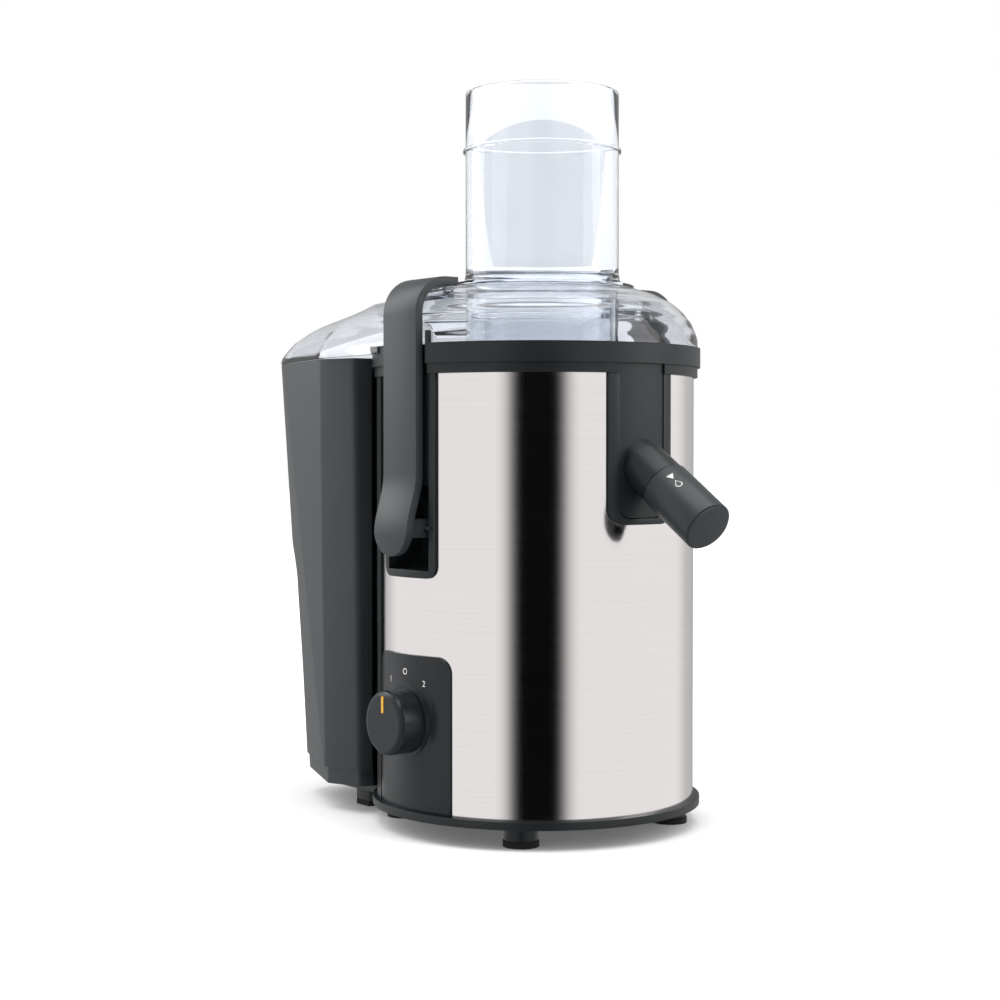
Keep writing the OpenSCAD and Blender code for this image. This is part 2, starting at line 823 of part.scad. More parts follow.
// Shredding disc with its rings of raised teeth
module grater_disc() color(steel) {
    translate([0, 0, grater_z + seat_gap / 2]) cylinder(r = grater_r, h = grater_t, $fn = 120);
    for (row = [1 : tooth_rows], i = [0 : 3 + 3 * row])
        rotate([0, 0, (i + row / 2) * 360 / (4 + 3 * row)])
            translate([6 + row * (grater_r - 12) / tooth_rows, 0, grater_z + 1])
                rotate([90, 0, 0]) linear_extrude(height = 1, center = true)
                    polygon([[-2, 0], [2, 0], [0, tooth_h + grater_t - 1]]);
}

module filter_mesh() color(steel) {
    rotate_extrude($fn = 120) polygon([
        [grater_r + 1.4, grater_z + seat_gap], [grater_r + 1.4 + mesh_t, grater_z + seat_gap],
        [basket_r - 5 + mesh_t, rim_z - seat_gap], [basket_r - 5, rim_z - seat_gap]
    ]);
}

module basket_rim() color(dark_plastic) {
    rotate_extrude($fn = 120) polygon([
        [basket_r - 5.5, rim_z], [basket_r, rim_z], [basket_r, rim_z + 5], [basket_r - 1.5, rim_z + 5],
        [basket_r - 1.5, rim_z + 1.5], [basket_r - 5.5, rim_z + 1.5]
    ]);
}

// ---- bowl, spout and nozzle ----

module juice_bowl() color(dark_plastic) {
    difference() {
        union() {
            rotate_extrude($fn = 180) polygon([
                [chimney_r, bowl_z], [bowl_out, bowl_z], [bowl_out, collar_z], [collar_r, collar_z],
                [collar_r, lid_z], [collar_r - 4, lid_z], [collar_r - 4, collar_z + bowl_wall],
                [bowl_out, collar_z + bowl_wall], [bowl_out, lid_z], [bowl_in, lid_z],
                [bowl_in, bowl_z + bowl_wall], [chimney_r + bowl_wall, bowl_z + bowl_wall],
                [chimney_r + bowl_wall, bowl_z + chimney_h], [chimney_r, bowl_z + chimney_h]
            ]);
            intersection() {
                ring(body_r + 0.9, body_r - 2.5, skirt_low, collar_z + 1 - skirt_low);
                rotate([0, 0, 90]) front_prism()
                    tab_outline(skirt_half, skirt_low + slide_gap, collar_z + 1, 6);
            }
            difference() {
                along_spout() translate([0, 0, -spout_back])
                    cylinder(r = spout_r, h = spout_back + spout_len - nozzle_end - 1);
                cylinder(r = bowl_in + bowl_wall / 2, h = far, $fn = 180);
            }
            intersection() {
                along_spout() cylinder(r = spout_collar_r, h = nozzle_start - 2 * slide_gap);
                translate([plate_r + slide_gap, -far / 2, 0]) cube([far, far, far]);
            }
            both_sides() intersection() {
                ring(collar_r, collar_r - 4, collar_z, collar_h + 6);
                for (side = [-1, 1]) translate([side * (channel_half + rib_half) / 2, 0, collar_z])
                    front_box((rib_half - channel_half) / 2, lid_notch + slide_gap, far / 2, 0, collar_h + 6);
            }
        }
        both_sides() difference() {
            front_box(channel_half, 60, far / 2, collar_z - 1, lid_z + 10);
            cylinder(r = notch_in, h = far, $fn = 180);
        }
        along_spout() {
            translate([0, 0, -spout_back - 2])
                cylinder(r = spout_bore, h = spout_back + spout_len - nozzle_end - 1);
            translate([0, -6, spout_len - nozzle_end - outlet_len - 4]) cube([20, 12, outlet_len]);
            translate([0, 0, nozzle_start + 4]) difference() {
                cylinder(r = spout_r + 1, h = 2);
                translate([0, 0, -1]) cylinder(r = spout_r - 0.7, h = 4);
            }
        }
    }
}

module nozzle_seal() color(rubber) {
    along_spout() translate([0, 0, nozzle_start + 4.1]) difference() {
        cylinder(r = spout_r - seat_gap / 2, h = 1.8);
        translate([0, 0, -1]) cylinder(r = spout_r - 0.65, h = 4);
    }
}

module drip_nozzle() color(mid_plastic) {
    along_spout() difference() {
        union() {
            translate([0, 0, nozzle_start]) cylinder(r = nozzle_r, h = nozzle_len - 1);
            translate([0, 0, nozzle_start]) cylinder(r = nozzle_r - 1, h = nozzle_len);
        }
        translate([0, 0, nozzle_start - 1]) cylinder(r = nozzle_bore, h = nozzle_len + 1 - nozzle_end);
        translate([0, -6, spout_len - nozzle_end - outlet_len - 4]) cube([20, 12, outlet_len]);
    }
}

// ---- lid ----

// Outer surface of the lid, or the inner one when the inset is the wall
module lid_form(inset) {
    rear = -bin_reach + bin_corner;
    corner = bin_front[0];
    levels = [[0, 0], [0.3, 2], [3.3, 6], [8, 11], [17, 16.8], [24, 20.2], [35, 24], [48, 28.5]];
    dome = [[2, 0], [2, 4.5], [0.6, 8.5], [-1.4, 13], [-5.4, 18.2], [-11.2, 23.2], [-20, 27.6], [-31, 31]];
    hull() {
        for (p = dome) translate([0, 0, lid_z + p[1] - inset])
            cylinder(r = body_r + p[0] - inset, h = 0.4, $fn = 96);
        translate([tube_x, 0, crown_z - 0.4 - inset]) cylinder(r = tube_r + 7 - inset, h = 0.4, $fn = 96);
        for (p = levels, side = [-1, 1]) {
            translate([rear + p[0] * 0.95, side * (bin_half - p[0] * 0.5), bin_top + 0.4 + p[1] - inset])
                cylinder(r = bin_corner + 0.3 - inset - p[0] * 0.05, h = 0.4, $fn = 48);
            translate([corner[0], side * (corner[1] - p[0] * 0.8), bin_top + 0.4 + p[1] * 1.1 - inset])
                cylinder(r = bin_small + 0.3 - min(inset, 2.5), h = 0.4, $fn = 32);
        }
    }
}

module lid() color(clear_plastic) {
    catch_half = tongue_r - 3;
    difference() {
        union() {
            lid_form(0);
            both_sides() front_box(catch_half, hook_reach - 1, hook_reach + 6.5, lid_z + lid_wall,
                crown_z - hook_drop - slide_gap);
        }
        difference() {
            lid_form(lid_wall);
            both_sides() front_box(rib_half + 0.6 + lid_wall, lid_notch - lid_wall, far / 2, 0, far);
        }
        both_sides() front_box(rib_half + 0.6, lid_notch, far / 2, 0, far);
        cylinder(r = collar_r + 1, h = lid_z + seat_gap, $fn = 180);
        translate([tube_x, 0, 200]) cylinder(r = tube_r + seat_gap, h = far, $fn = 120);
    }
}

module feed_tube() color(clear_plastic) {
    translate([tube_x, 0, 0]) rotate_extrude($fn = 120) polygon([
        [tube_r - tube_wall, tube_foot], [tube_r, tube_foot], [tube_r, crown_z + 0.2],
        [tube_r + 2.2, crown_z + 0.2], [tube_r + 0.6, crown_z + 3], [tube_r, crown_z + 7],
        [tube_r, tube_top - tube_ring_drop - 2], [tube_r + 1.3, tube_top - tube_ring_drop - 2],
        [tube_r + 1.3, tube_top - tube_ring_drop], [tube_r, tube_top - tube_ring_drop],
        [tube_r, tube_top], [tube_r - tube_wall, tube_top]
    ]);
    translate([tube_x, 0, 0]) rotate([0, 0, 213])
        translate([tube_r - tube_wall / 2, -0.9, crown_z + 1])
            cube([tube_wall / 2 + 0.8, 1.8, tube_rise - tube_ring_drop - 2]);
}

// ---- locking arms ----

function ease(t) = t * t * (3 - 2 * t);
function flare_at(z) = arm_flare * ease(min(1, max(0, (flare_top - z) / (flare_top - flare_low))));

// One locking arm: hook over the lid, straight strap, flared tongue and hinge lug
module locking_arm() {
    steps = 10;
    low = pivot_z - tongue_r - 1;
    zs = [for (i = [0 : steps]) flare_top + (low - flare_top) * i / steps];
    hook = [for (i = [0 : steps]) 90 * i / steps];
    hook_d = arm_in - hook_arc;
    outline = concat(
        [for (z = zs) [arm_out + flare_at(z), z]],
        [for (i = [0 : steps]) [arm_in + flare_at(zs[steps - i]), zs[steps - i]]],
        [for (a = hook) [hook_d + hook_arc * cos(a), hook_z + hook_arc * sin(a)]],
        [[hook_reach, hook_z + hook_arc], [hook_reach, hook_z + hook_arc + arm_t]],
        [for (i = [0 : steps]) [hook_d + (hook_arc + arm_t) * cos(hook[steps - i]),
            hook_z + (hook_arc + arm_t) * sin(hook[steps - i])]]
    );
    difference() {
        union() {
            intersection() {
                rotate([90, 0, -90]) linear_extrude(height = arm_w, center = true) polygon(outline);
                front_prism() union() {
                    translate([0, pivot_z]) circle(r = tongue_r, $fn = 96);
                    translate([-tongue_r, pivot_z]) square([arm_w, far]);
                }
            }
            cross_rod(lug_r, lug_half, pivot_d, pivot_z);
            front_box(lug_half, pivot_d, arm_in + arm_flare, pivot_z - lug_r + 0.2, pivot_z + lug_r - 0.2);
        }
        cross_rod(pin_r + run_gap, lug_half + 1, pivot_d, pivot_z);
    }
}

module front_arm() color(mid_plastic) locking_arm();
module back_arm() color(mid_plastic) mirror([0, 1, 0]) locking_arm();
module front_hinge_pin() color(steel) cross_rod(pin_r, channel_half + recess_wall - 0.2, pivot_d, pivot_z);
module back_hinge_pin() color(steel) mirror([0, 1, 0]) front_hinge_pin();

// ---- knob ----

module speed_knob() color(dark_plastic) {
    on_knob_axis(knob_face) difference() {
        rotate_extrude($fn = 120) polygon([
            [0, 3], [spindle_r + 2.5, 3], [spindle_r + 2.5, knob_depth - 3], [knob_r - 2.5, knob_depth - 3],
            [knob_r - 2, 0], [knob_r, 0], [knob_r, knob_depth - 2.4], [knob_r - 0.4, knob_depth - 1.2],
            [knob_r - 1.2, knob_depth - 0.4], [knob_r - 2.4, knob_depth], [0, knob_depth]
        ]);
        cylinder(r = spindle_r + 0.01, h = knob_depth - 2.4);
        translate([-0.9, knob_r - pointer_len - 2.8, knob_depth - 0.5]) cube([1.8, pointer_len + 0.2, 2]);
    }
}

module knob_pointer() color(gold) {
    on_knob_axis(knob_face + knob_depth - 0.45)
        translate([-0.8, knob_r - pointer_len - 2.7, 0]) cube([1.6, pointer_len, 0.75]);
}

module switch_spindle() color(steel) {
    on_knob_axis(spindle_start)
        cylinder(r = spindle_r, h = knob_face + knob_depth - 2.6 - spindle_start);
}

// ---- pulp container ----

// Solid form of the container between two heights; the inset makes its inner surface
module bin_form(inset, low, top) {
    hull() for (z = [low, top - 0.2]) {
        lean = (bin_top - z) / (bin_top - bin_z);
        for (side = [-1, 1]) {
            translate([-bin_reach + bin_corner + lean * bin_lean, side * (bin_half - lean * 6), z])
                cylinder(r = bin_corner - inset - lean * 2, h = 0.2, $fn = 64);
            for (p = bin_front)
                translate([p[0], side * (p[1] - lean * bin_taper_y), z])
                    cylinder(r = bin_small - inset, h = 0.2, $fn = 32);
        }
    }
}

module pulp_container() color(bin_plastic) {
    difference() {
        union() {
            bin_form(0, bin_z + bin_step, bin_top);
            bin_form(2, bin_z, bin_z + bin_step + 1);
        }
        cylinder(r = collar_r + bin_gap, h = far, $fn = 180);
        difference() {
            union() {
                bin_form(bin_wall + grip_depth * 0.6, bin_z + bin_step, bin_top + 1);
                bin_form(bin_wall + 2, bin_z + bin_wall, bin_z + bin_step + 1);
            }
            cylinder(r = collar_r + bin_gap + bin_wall, h = far, $fn = 180);
        }
        intersection() {
            difference() {
                translate([-far, -far / 2, bin_z + bin_step]) cube([far, far, grip_z]);
                bin_form(grip_depth, bin_z, bin_top);
            }
            rotate([90, 0, 0]) translate([0, 0, -far / 2]) linear_extrude(height = far) {
                translate([-far, bin_z + bin_step])
                    square([far - bin_reach + grip_reach, grip_z - grip_arch - bin_z - bin_step]);
                translate([-bin_reach - grip_arch + grip_reach, grip_z - grip_arch])
                    circle(r = grip_arch, $fn = 96);
            }
        }
    }
}

// ---- one line for each node ----

base();
rubber_feet();
leg_pads();
base_screws();
motor_housing();
steel_wrap();
rear_cover();
cord_gland();
top_trim();
spout_frame();
front_arm_recess();
back_arm_recess();
control_panel();
speed_switch();
control_board();
front_interlock_switch();
back_interlock_switch();
motor_deck();
shaft_seal();
motor_mounts();
mount_screws();
lower_bracket();
upper_bracket();
lower_bearing();
upper_bearing();
stator();
field_coils();
brush_holders();
carbon_brushes();
motor_bolts();
motor_shaft();
armature();
armature_windings();
commutator();
cooling_fan();
drive_coupling();
basket_base();
grater_disc();
filter_mesh();
basket_rim();
juice_bowl();
nozzle_seal();
drip_nozzle();
lid();
feed_tube();
front_arm();
back_arm();
front_hinge_pin();
back_hinge_pin();
speed_knob();
knob_pointer();
switch_spindle();
pulp_container();
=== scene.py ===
import json
import math

import bpy
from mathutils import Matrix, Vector
from mathutils.geometry import convex_hull_2d


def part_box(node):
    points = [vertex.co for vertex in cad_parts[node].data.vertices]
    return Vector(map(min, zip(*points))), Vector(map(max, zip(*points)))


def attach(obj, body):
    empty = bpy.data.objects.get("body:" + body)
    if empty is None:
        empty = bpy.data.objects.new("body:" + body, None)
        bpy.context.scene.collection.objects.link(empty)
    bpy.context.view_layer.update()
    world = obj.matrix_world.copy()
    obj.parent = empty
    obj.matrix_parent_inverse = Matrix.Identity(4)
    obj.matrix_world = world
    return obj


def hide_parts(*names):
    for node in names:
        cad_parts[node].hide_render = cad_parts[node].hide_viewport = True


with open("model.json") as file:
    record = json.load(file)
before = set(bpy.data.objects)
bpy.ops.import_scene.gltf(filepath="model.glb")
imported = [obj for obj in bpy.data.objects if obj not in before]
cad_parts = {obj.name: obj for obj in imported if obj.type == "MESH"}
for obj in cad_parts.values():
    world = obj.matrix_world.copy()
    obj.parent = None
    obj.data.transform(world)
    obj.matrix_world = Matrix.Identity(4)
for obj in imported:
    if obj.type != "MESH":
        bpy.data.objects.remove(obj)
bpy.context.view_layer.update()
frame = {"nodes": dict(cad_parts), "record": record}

# ---------------------------------------------------------------- sizes, in metres

MM = 0.001
KNOB_LOW, KNOB_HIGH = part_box("speed_knob")
TUBE_LOW, TUBE_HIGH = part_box("feed_tube")
LID_LOW, LID_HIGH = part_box("lid")
BIN_LOW, BIN_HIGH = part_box("pulp_container")
WRAP_LOW, WRAP_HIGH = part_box("steel_wrap")
BASE_LOW, BASE_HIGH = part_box("base")

BODY_R = WRAP_HIGH.x
COLLAR_R = BASE_HIGH.x
KNOB_Z = (KNOB_LOW.z + KNOB_HIGH.z) / 2
PANEL_PROUD = 1.1 * MM
TUBE_X = 5.0 * MM
TUBE_R = 39.7 * MM
TUBE_WALL = 2.4 * MM
RING_DROP = 29 * MM
LID_SEAT = 246 * MM
LID_WALL = 2.2 * MM
LID_GAP = 0.4 * MM
CROWN = LID_HIGH.z
BIN_TOP = BIN_HIGH.z
BIN_HALF = 37 * MM
BIN_CORNER = 28 * MM
BIN_FRONT_Y = 73 * MM
BIN_LEAN = 12 * MM
BIN_NARROWING = 6 * MM
BIN_CORNER_LOSS = 2 * MM
BIN_TAPER = 3 * MM
BIN_SMALL = 5 * MM
BIN_FRONT = [(-5, 9), (13, 14.5), (15.5, 27)]
GRIP_TOP = 178 * MM
SPOUT_ROOT = Vector((84.0, 0, 185.997)) * MM
SPOUT_SLOPE = math.radians(33)
NOZZLE_R = 12.64 * MM
NOZZLE_START = 18.5 * MM


# ---------------------------------------------------------------- studio

CAMERA_AZIMUTH = math.radians(52.0)
AWAY = Vector((math.sin(CAMERA_AZIMUTH), -math.cos(CAMERA_AZIMUTH), 0))


def place_camera():
    """A camera at chest height in front of the spout corner, a metre away."""
    distance = 0.997
    height = 0.1925
    aside = 0.0188
    tilt = 1.44
    right = Vector((math.cos(CAMERA_AZIMUTH), math.sin(CAMERA_AZIMUTH), 0))
    data = bpy.data.cameras.new("camera")
    data.sensor_width = 36.0
    data.lens = 68.6
    camera = bpy.data.objects.new("camera", data)
    bpy.context.scene.collection.objects.link(camera)
    camera.location = AWAY * distance - right * aside + Vector((0, 0, height))
    camera.rotation_euler = (math.radians(90 - tilt), 0, CAMERA_AZIMUTH)
    bpy.context.scene.camera = camera


def add_area_light(name, azimuth, elevation, distance, width, height, power):
    """A soft panel that faces the middle of the body."""
    a = math.radians(azimuth)
    e = math.radians(elevation)
    aim = Vector((0, 0, 0.19))
    direction = Vector((math.sin(a) * math.cos(e), -math.cos(a) * math.cos(e), math.sin(e)))
    data = bpy.data.lights.new(name, "AREA")
    data.shape = "RECTANGLE"
    data.size = width
    data.size_y = height
    data.energy = power
    light = bpy.data.objects.new(name, data)
    bpy.context.scene.collection.objects.link(light)
    light.location = aim + direction * distance
    light.rotation_euler = (-direction).to_track_quat("-Z", "Y").to_euler()


def ramp(nodes, stops, interpolation="EASE"):
    """A colour ramp through grey stops of (place, value)."""
    node = nodes.new("ShaderNodeValToRGB")
    node.color_ramp.interpolation = interpolation
    elements = node.color_ramp.elements
    while len(elements) < len(stops):
        elements.new(0.5)
    for element, (place, value) in zip(elements, stops):
        element.position = place
        element.color = (value, value, value, 1)
    return node


def build_world():
    """A bright surround with one dark flag for the wrap to mirror, and dark sides for clear pieces."""
    world = bpy.data.worlds.new("studio")
    bpy.context.scene.world = world
    world.use_nodes = True
    nodes, links = world.node_tree.nodes, world.node_tree.links
    nodes.clear()
    out = nodes.new("ShaderNodeOutputWorld")
    seen = nodes.new("ShaderNodeBackground")
    seen.inputs["Color"].default_value = (1.0, 1.0, 1.0, 1.0)
    lit = nodes.new("ShaderNodeBackground")
    through = nodes.new("ShaderNodeBackground")
    through.inputs["Strength"].default_value = 0.96
    coords = nodes.new("ShaderNodeTexCoord")
    turn = nodes.new("ShaderNodeMapping")
    turn.inputs["Rotation"].default_value = (0, 0, math.pi / 2 - CAMERA_AZIMUTH)
    split = nodes.new("ShaderNodeSeparateXYZ")
    angle = nodes.new("ShaderNodeMath")
    angle.operation = "ARCTAN2"
    spread = nodes.new("ShaderNodeMath")
    spread.operation = "ABSOLUTE"
    share = nodes.new("ShaderNodeMath")
    share.operation = "DIVIDE"
    share.inputs[1].default_value = math.pi
    flag = ramp(nodes, [(0.055, 0.01), (0.13, 1.0), (0.66, 1.0), (0.80, 0.62), (1.0, 0.40)])
    height = nodes.new("ShaderNodeMapRange")
    height.inputs["From Min"].default_value = -0.65
    height.inputs["From Max"].default_value = -0.22
    height.inputs["To Min"].default_value = 0.35
    height.inputs["To Max"].default_value = 0.86
    sides = ramp(nodes, [(0.0, 0.25), (0.45, 0.06), (0.62, 0.30), (0.80, 0.93)])
    path = nodes.new("ShaderNodeLightPath")
    clear_mix = nodes.new("ShaderNodeMixShader")
    mix = nodes.new("ShaderNodeMixShader")
    links.new(coords.outputs["Generated"], turn.inputs["Vector"])
    links.new(turn.outputs["Vector"], split.inputs["Vector"])
    links.new(split.outputs["Y"], angle.inputs[0])
    links.new(split.outputs["X"], angle.inputs[1])
    links.new(angle.outputs[0], spread.inputs[0])
    links.new(spread.outputs[0], share.inputs[0])
    links.new(share.outputs[0], flag.inputs["Fac"])
    links.new(share.outputs[0], sides.inputs["Fac"])
    links.new(split.outputs["Z"], height.inputs["Value"])
    links.new(height.outputs["Result"], lit.inputs["Strength"])
    links.new(flag.outputs["Color"], lit.inputs["Color"])
    links.new(sides.outputs["Color"], through.inputs["Color"])
    links.new(path.outputs["Is Transmission Ray"], clear_mix.inputs["Fac"])
    links.new(lit.outputs["Background"], clear_mix.inputs[1])
    links.new(through.outputs["Background"], clear_mix.inputs[2])
    links.new(path.outputs["Is Camera Ray"], mix.inputs["Fac"])
    links.new(clear_mix.outputs["Shader"], mix.inputs[1])
    links.new(seen.outputs["Background"], mix.inputs[2])
    links.new(mix.outputs["Shader"], out.inputs["Surface"])


def build_floor():
    """A plain pale sheet under the feet with a painted glow, which brightens away from the object."""
    bpy.ops.object.select_all(action="DESELECT")
    bpy.ops.mesh.primitive_circle_add(vertices=96, radius=9.0, fill_type="NGON", location=(0, 0, 0))
    floor = bpy.context.active_object
    floor.name = "floor"
    material = bpy.data.materials.new("floor_paper")
    material.use_nodes = True
    shader = material.node_tree.nodes["Principled BSDF"]
    shader.inputs["Base Color"].default_value = (0.95, 0.95, 0.95, 1)
    shader.inputs["Roughness"].default_value = 0.7
    shader.inputs["Specular IOR Level"].default_value = 0.1
    shader.inputs["Emission Color"].default_value = (1, 1, 1, 1)
    nodes, links = material.node_tree.nodes, material.node_tree.links
    coords = nodes.new("ShaderNodeTexCoord")
    reach = nodes.new("ShaderNodeVectorMath")
    reach.operation = "LENGTH"
    # painted glow: the sheet emits light, weaker near the object and stronger further away
    glow = nodes.new("ShaderNodeMapRange")
    glow.inputs["From Min"].default_value = 0.25
    glow.inputs["From Max"].default_value = 1.4
    glow.inputs["To Min"].default_value = 0.10
    glow.inputs["To Max"].default_value = 0.60
    links.new(coords.outputs["Object"], reach.inputs[0])
    links.new(reach.outputs["Value"], glow.inputs["Value"])
    links.new(glow.outputs["Result"], shader.inputs["Emission Strength"])
    floor.data.materials.append(material)
    floor.visible_glossy = False


def build_flag():
    """A black card with faded sides close in front of the wrap, which only reflections show."""
    half = 52 * MM
    core = 10 * MM
    stand = BODY_R + 48 * MM
    card_height = 235 * MM
    middle = 118.5 * MM
    bpy.ops.object.select_all(action="DESELECT")
    bpy.ops.mesh.primitive_plane_add(size=1, location=AWAY * stand + Vector((0, 0, middle)))
    card = bpy.context.active_object
    card.name = "flag"
    card.scale = (2 * half, card_height, 1)
    card.rotation_euler = (math.pi / 2, 0, CAMERA_AZIMUTH)
    material = bpy.data.materials.new("flag_black")
    material.use_nodes = True
    shader = material.node_tree.nodes["Principled BSDF"]
    shader.inputs["Base Color"].default_value = (0.003, 0.003, 0.003, 1)
    shader.inputs["Roughness"].default_value = 0.9
    shader.inputs["Specular IOR Level"].default_value = 0.0
    nodes, links = material.node_tree.nodes, material.node_tree.links
    coords = nodes.new("ShaderNodeTexCoord")
    split = nodes.new("ShaderNodeSeparateXYZ")
    aside = nodes.new("ShaderNodeMath")
    aside.operation = "ABSOLUTE"
    fade = nodes.new("ShaderNodeMapRange")
    fade.interpolation_type = "SMOOTHSTEP"
    fade.inputs["From Min"].default_value = core / (2 * half)
    fade.inputs["From Max"].default_value = 0.5
    fade.inputs["To Min"].default_value = 1.0
    fade.inputs["To Max"].default_value = 0.0
    links.new(coords.outputs["Object"], split.inputs["Vector"])
    links.new(split.outputs["X"], aside.inputs[0])
    links.new(aside.outputs[0], fade.inputs["Value"])
    links.new(fade.outputs["Result"], shader.inputs["Alpha"])
    card.data.materials.append(material)
    card.visible_camera = False
    card.visible_diffuse = False
    card.visible_shadow = False
    card.visible_transmission = False


# ---------------------------------------------------------------- shared effects

def new_group(name, inputs, outputs):
    """An empty shader group with named sockets; returns its tree and its two end nodes."""
    tree = bpy.data.node_groups.new(name, "ShaderNodeTree")
    for label, kind, value in inputs:
        socket = tree.interface.new_socket(label, in_out="INPUT", socket_type=kind)
        if value is not None:
            socket.default_value = value
    for label, kind in outputs:
        tree.interface.new_socket(label, in_out="OUTPUT", socket_type=kind)
    return tree, tree.nodes.new("NodeGroupInput"), tree.nodes.new("NodeGroupOutput")


def math_node(tree, operation, first, second=None):
    """One arithmetic node; each operand is a socket or a number."""
    node = tree.nodes.new("ShaderNodeMath")
    node.operation = operation
    for place, operand in enumerate((first, second)):
        if operand is None:
            continue
        if isinstance(operand, (int, float)):
            node.inputs[place].default_value = operand
        else:
            tree.links.new(operand, node.inputs[place])
    return node.outputs[0]


def noise_node(tree, vector, scale, detail=2.0):
    """A noise texture read at the given coordinates."""
    node = tree.nodes.new("ShaderNodeTexNoise")
    node.inputs["Detail"].default_value = detail
    if isinstance(scale, (int, float)):
        node.inputs["Scale"].default_value = scale
    else:
        tree.links.new(scale, node.inputs["Scale"])
    tree.links.new(vector, node.inputs["Vector"])
    return node.outputs["Fac"]


def tinted(tree, color, amount):
    """A colour made lighter or darker by a changing amount."""
    node = tree.nodes.new("ShaderNodeVectorMath")
    node.operation = "SCALE"
    tree.links.new(color, node.inputs[0])
    tree.links.new(amount, node.inputs["Scale"])
    return node.outputs["Vector"]


def build_moulded_group():
    """Fine spark-eroded grain of a moulding, with slight gloss and tone changes over the surface."""
    tree, start, end = new_group(
        "moulded_surface",
        [("Coordinates", "NodeSocketVector", None), ("Color", "NodeSocketColor", (0.1, 0.1, 0.1, 1)),
         ("Roughness", "NodeSocketFloat", 0.4), ("Grain Scale", "NodeSocketFloat", 2600.0),
         ("Tone Change", "NodeSocketFloat", 0.10), ("Gloss Change", "NodeSocketFloat", 0.10)],
        [("Color", "NodeSocketColor"), ("Roughness", "NodeSocketFloat"), ("Height", "NodeSocketFloat")])
    point = start.outputs["Coordinates"]
    grain = noise_node(tree, point, start.outputs["Grain Scale"], 2.0)
    cloud_scale = 22.0
    cloud = noise_node(tree, point, cloud_scale, 3.0)
    drift = math_node(tree, "SUBTRACT", cloud, 0.5)
    tone = math_node(tree, "ADD", math_node(tree, "MULTIPLY", drift, start.outputs["Tone Change"]), 1.0)
    gloss = math_node(tree, "MULTIPLY", drift, start.outputs["Gloss Change"])
    tree.links.new(tinted(tree, start.outputs["Color"], tone), end.inputs["Color"])
    tree.links.new(math_node(tree, "ADD", start.outputs["Roughness"], gloss), end.inputs["Roughness"])
    tree.links.new(grain, end.inputs["Height"])
    return tree


def build_brushed_group():
    """Long fine scratches that run round the body, level with the table."""
    tree, start, end = new_group(
        "brushed_surface",
        [("Coordinates", "NodeSocketVector", None), ("Color", "NodeSocketColor", (0.8, 0.8, 0.8, 1)),
         ("Roughness", "NodeSocketFloat", 0.2), ("Line Scale", "NodeSocketFloat", 900.0),
         ("Line Length", "NodeSocketFloat", 14.0), ("Line Depth", "NodeSocketFloat", 0.16)],
        [("Color", "NodeSocketColor"), ("Roughness", "NodeSocketFloat"), ("Height", "NodeSocketFloat")])
    stretch = tree.nodes.new("ShaderNodeVectorMath")
    stretch.operation = "MULTIPLY"
    scale = tree.nodes.new("ShaderNodeCombineXYZ")
    tree.links.new(start.outputs["Line Length"], scale.inputs["X"])
    tree.links.new(start.outputs["Line Length"], scale.inputs["Y"])
    tree.links.new(start.outputs["Line Scale"], scale.inputs["Z"])
    tree.links.new(start.outputs["Coordinates"], stretch.inputs[0])
    tree.links.new(scale.outputs["Vector"], stretch.inputs[1])
    lines = noise_node(tree, stretch.outputs["Vector"], 1.0, 4.0)
    drift = math_node(tree, "SUBTRACT", lines, 0.5)
    tone = math_node(tree, "ADD", math_node(tree, "MULTIPLY", drift, start.outputs["Line Depth"]), 1.0)
    gloss_change = 0.12
    gloss = math_node(tree, "MULTIPLY", drift, gloss_change)
    tree.links.new(tinted(tree, start.outputs["Color"], tone), end.inputs["Color"])
    tree.links.new(math_node(tree, "ADD", start.outputs["Roughness"], gloss), end.inputs["Roughness"])
    tree.links.new(lines, end.inputs["Height"])
    return tree


MOULDED = build_moulded_group()
BRUSHED = build_brushed_group()


# ---------------------------------------------------------------- materials

def surface_material(name, group, settings, bump, distance=0.00002, **shader_values):
    """A material whose colour, gloss and relief come from one of the shared groups."""
    material = bpy.data.materials.new(name)
    material.use_nodes = True
    nodes, links = material.node_tree.nodes, material.node_tree.links
    shader = nodes["Principled BSDF"]
    coords = nodes.new("ShaderNodeTexCoord")
    effect = nodes.new("ShaderNodeGroup")
    effect.node_tree = group
    for label, value in settings.items():
        effect.inputs[label].default_value = value
    relief = nodes.new("ShaderNodeBump")
    relief.inputs["Strength"].default_value = bump
    relief.inputs["Distance"].default_value = distance
    links.new(coords.outputs["Object"], effect.inputs["Coordinates"])
    links.new(effect.outputs["Color"], shader.inputs["Base Color"])
    links.new(effect.outputs["Roughness"], shader.inputs["Roughness"])
    links.new(effect.outputs["Height"], relief.inputs["Height"])
    links.new(relief.outputs["Normal"], shader.inputs["Normal"])
    for label, value in shader_values.items():
        shader.inputs[label.replace("_", " ")].default_value = value
    return material


def plastic(name, color, roughness, grain=2600.0, bump=0.25, gloss=0.3, **shader_values):
    """A moulded plastic."""
    settings = {"Color": (*color, 1), "Roughness": roughness, "Grain Scale": grain}
    return surface_material(name, MOULDED, settings, bump, Specular_IOR_Level=gloss, **shader_values)


def metal(name, color, roughness, lines=900.0, length=14.0, depth=0.16, bump=0.15, **shader_values):
    """A brushed or drawn metal."""
    settings = {"Color": (*color, 1), "Roughness": roughness, "Line Scale": lines, "Line Length": length,
                "Line Depth": depth}
    return surface_material(name, BRUSHED, settings, bump, Metallic=1.0, **shader_values)


